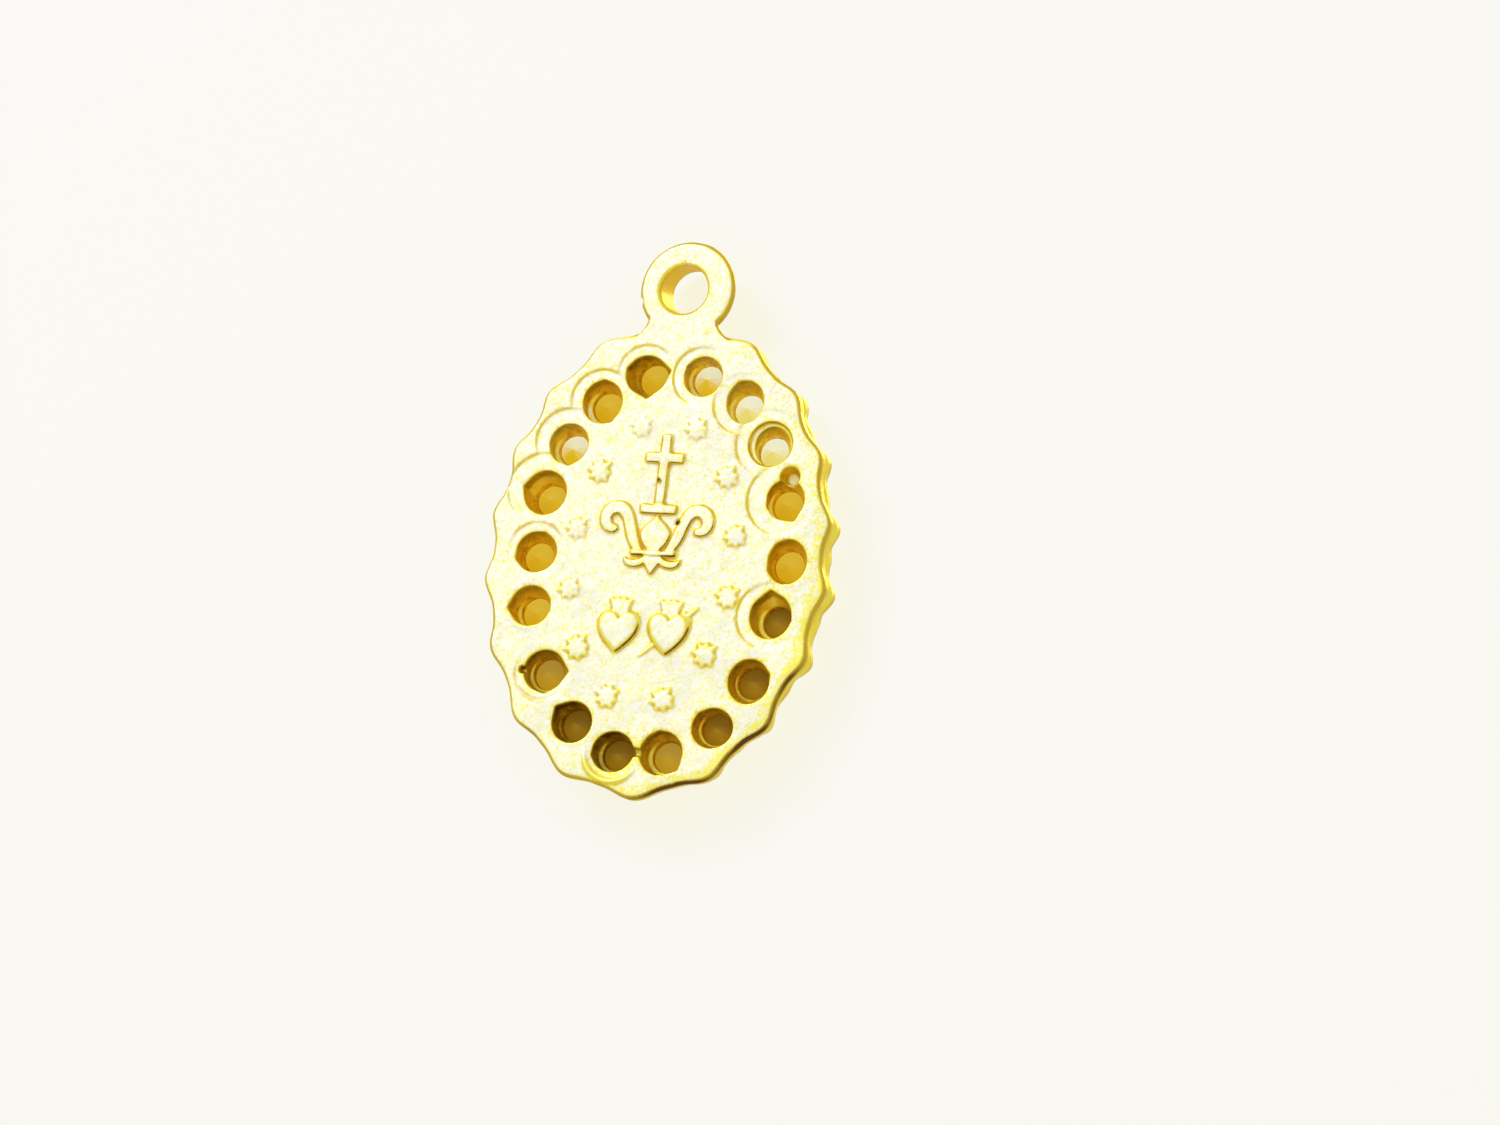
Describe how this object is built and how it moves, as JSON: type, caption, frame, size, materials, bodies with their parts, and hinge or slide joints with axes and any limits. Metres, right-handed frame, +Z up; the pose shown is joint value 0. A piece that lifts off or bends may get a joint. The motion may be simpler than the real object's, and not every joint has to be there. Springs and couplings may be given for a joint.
{
  "type": "oval devotional charm",
  "caption": "Small oval cast charm that hangs from a round eye, with a halo of open-backed stone seats, devotional relief on the back and a robed figure on the front.",
  "frame": {"origin": "middle of the hanging eye's bore, half way through the eye's thickness", "axes": "+Z up along the charm from its bottom edge to the eye; -Y the way the figure on the front faces, so +Y is the flat back that the picture shows; +X to the right when the front is seen"},
  "size_m": [0.0119, 0.0018, 0.019],
  "materials": {
    "casting_gold": "as-cast brass with a pale gold flash plating, satin, finely grained",
    "figure_gold": "gold plated brass, softly polished",
    "crystal": "clear faceted crystal, polished"
  },
  "bodies": {
    "root": {"medal_casting": "casting_gold", "standing_figure": "figure_gold", "stone_01": "crystal", "stone_02": "crystal", "stone_03": "crystal", "stone_04": "crystal", "stone_05": "crystal", "stone_06": "crystal", "stone_07": "crystal", "stone_08": "crystal", "stone_09": "crystal", "stone_10": "crystal", "stone_11": "crystal", "stone_12": "crystal", "stone_13": "crystal", "stone_14": "crystal", "stone_15": "crystal", "stone_16": "crystal", "stone_17": "crystal", "stone_18": "crystal"}
  },
  "joints": []
}
